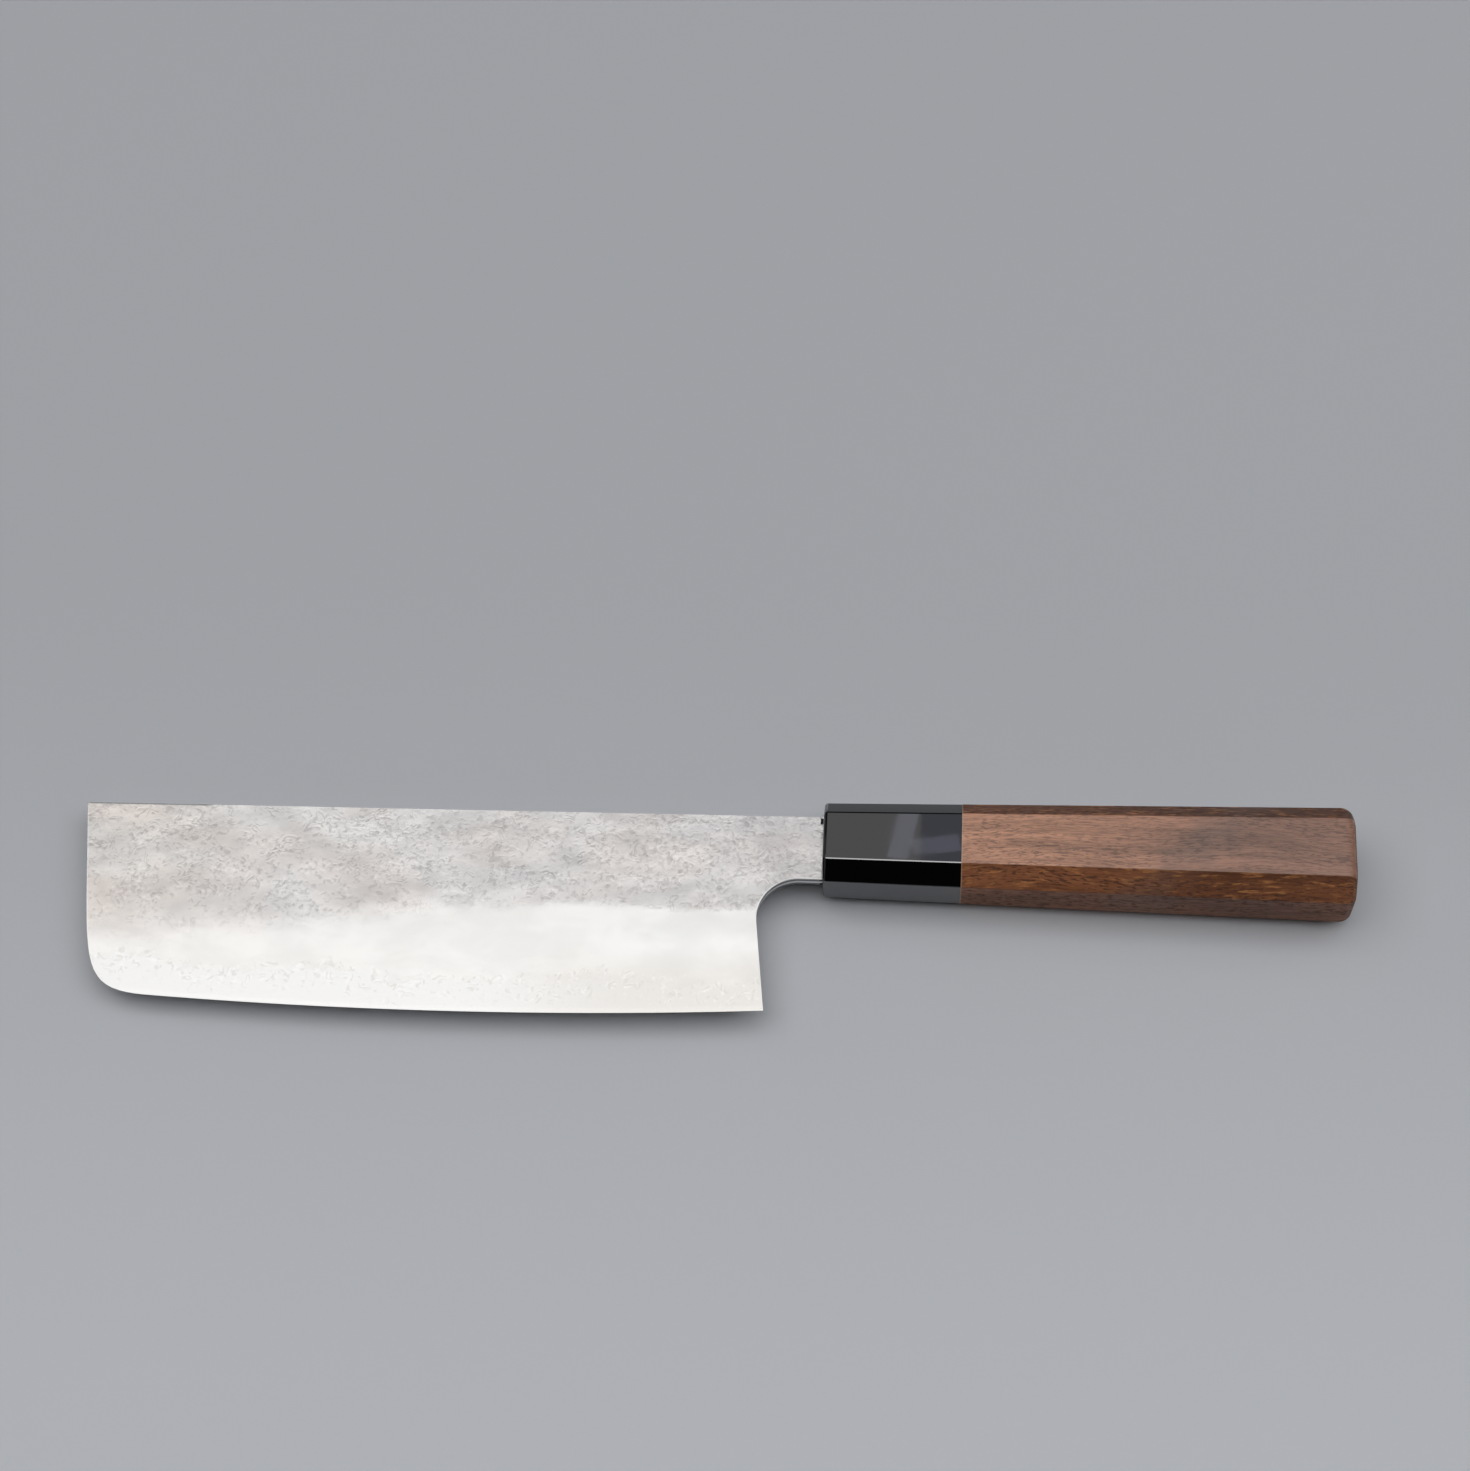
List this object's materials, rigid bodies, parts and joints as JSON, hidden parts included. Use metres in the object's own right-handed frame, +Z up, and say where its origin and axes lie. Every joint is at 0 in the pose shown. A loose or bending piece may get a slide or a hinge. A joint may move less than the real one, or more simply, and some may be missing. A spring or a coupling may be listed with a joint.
{
  "type": "nakiri knife",
  "caption": "Straight-edged vegetable knife: tall laminated blade with a blunt rounded tip, hidden tang, polished black ferrule and tapered octagonal walnut grip.",
  "frame": {"origin": "middle of the knife's box in plan, on the level of its lowest point, the right-hand facet of the grip at the butt", "axes": "+X from blade tip to butt along the handle, +Y from cutting edge to spine, +Z up, from the blade's right side to its left side, with the knife lying flat"},
  "size_m": [0.301, 0.0556, 0.0206],
  "materials": {
    "core_steel": "fine bright satin",
    "cladding_steel": "hammered, mottled pear-skin satin above the shoulder line, bright satin below it",
    "black_ferrule": "mirror polish",
    "walnut": "oiled, fine open pores along the grip",
    "dowel_wood": "plain turned",
    "resin": "set clear"
  },
  "bodies": {
    "root": {"blade_core": "core_steel", "cladding_left": "cladding_steel", "cladding_right": "cladding_steel", "ferrule": "black_ferrule", "grip": "walnut", "dowel": "dowel_wood", "tang_bedding": "resin"}
  },
  "joints": []
}
